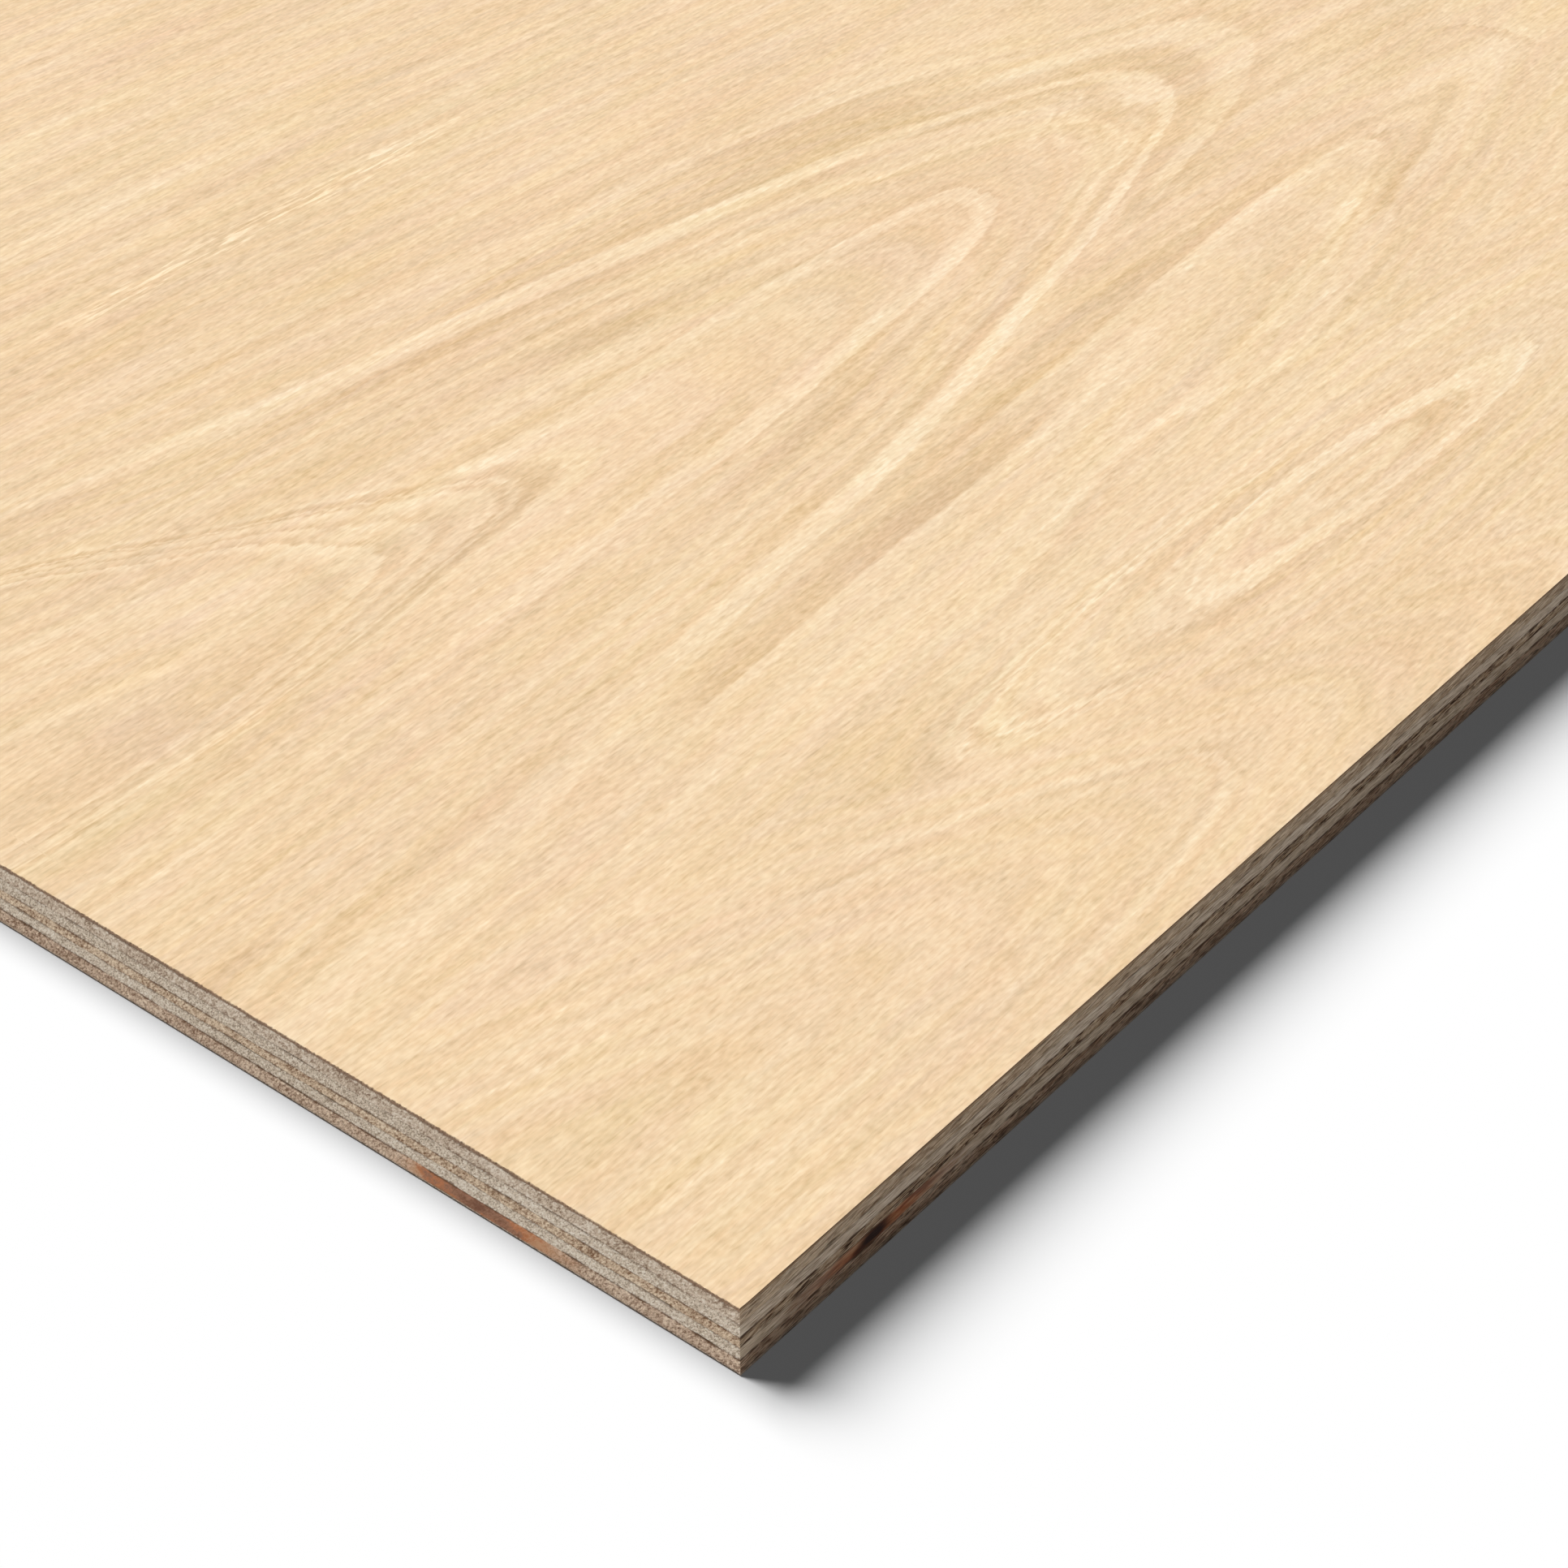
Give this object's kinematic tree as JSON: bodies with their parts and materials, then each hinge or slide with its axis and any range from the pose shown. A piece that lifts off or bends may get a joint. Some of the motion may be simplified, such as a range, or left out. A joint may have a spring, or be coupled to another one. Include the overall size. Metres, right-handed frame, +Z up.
{
  "type": "plywood sheet",
  "caption": "Flat rectangular plywood sheet with a thin, pale, figured face veneer and thick core plies of crossed grain that show as bands along its square sawn edges.",
  "frame": {"origin": "middle of the underside, on the surface that the sheet lies on", "axes": "+X along the length and the grain of the face, +Y across the width, +Z up out of the face"},
  "size_m": [2.44, 1.22, 0.018],
  "materials": {
    "face_veneer": "pale sanded hardwood veneer with a soft cathedral figure",
    "long_ply": "sawn core veneer, grain along the sheet, open dark pores",
    "cross_ply": "sawn core veneer, grain across the sheet, fine and pale",
    "back_veneer": "plain sanded hardwood veneer"
  },
  "bodies": {
    "root": {"back_veneer": "back_veneer", "lower_long_ply": "long_ply", "lower_cross_ply": "cross_ply", "centre_ply": "long_ply", "upper_cross_ply": "cross_ply", "upper_long_ply": "long_ply", "face_veneer": "face_veneer"}
  },
  "joints": []
}
